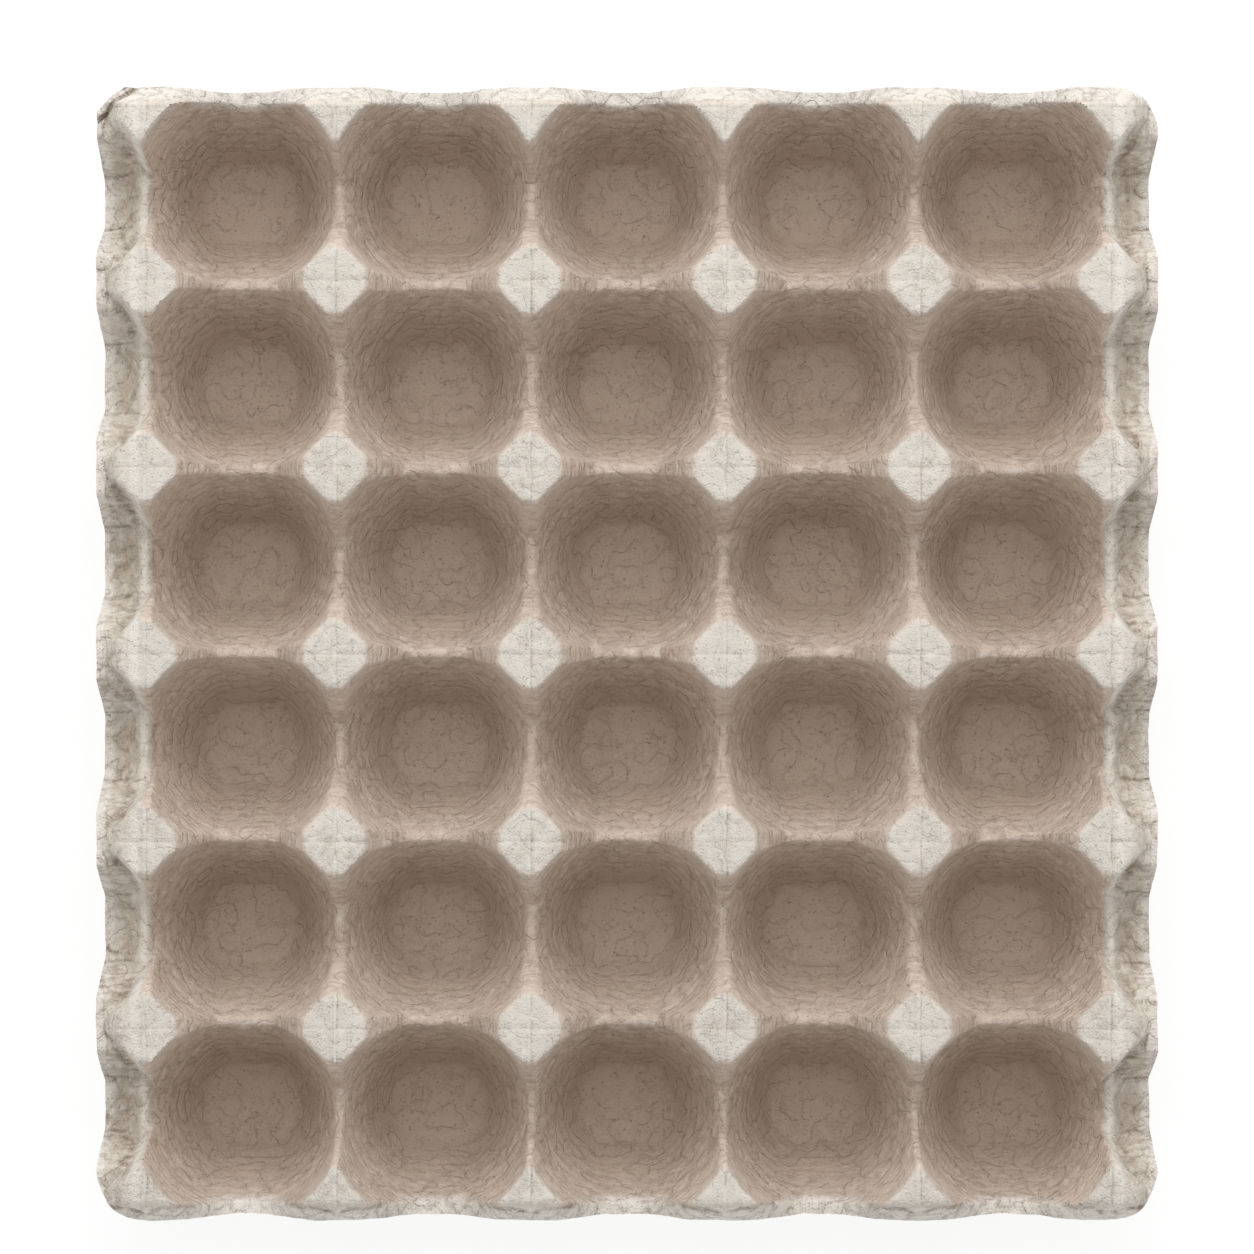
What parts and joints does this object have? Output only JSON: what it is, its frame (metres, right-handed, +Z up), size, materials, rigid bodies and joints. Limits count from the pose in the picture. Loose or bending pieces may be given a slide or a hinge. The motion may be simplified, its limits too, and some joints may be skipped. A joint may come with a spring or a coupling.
{
  "type": "egg tray",
  "caption": "Moulded paper pulp tray that holds hen's eggs in a grid of round cells, with flat-topped posts between the cells and a wavy rim.",
  "frame": {"origin": "under the middle of the tray, on the surface it stands on", "axes": "+Z up, out of the cells; +Y along the six rows, towards the end whose left corner is folded; +X along the five columns"},
  "size_m": [0.275, 0.2936, 0.05],
  "materials": {
    "pulp": "matt"
  },
  "bodies": {
    "root": {"tray": "pulp"}
  },
  "joints": []
}
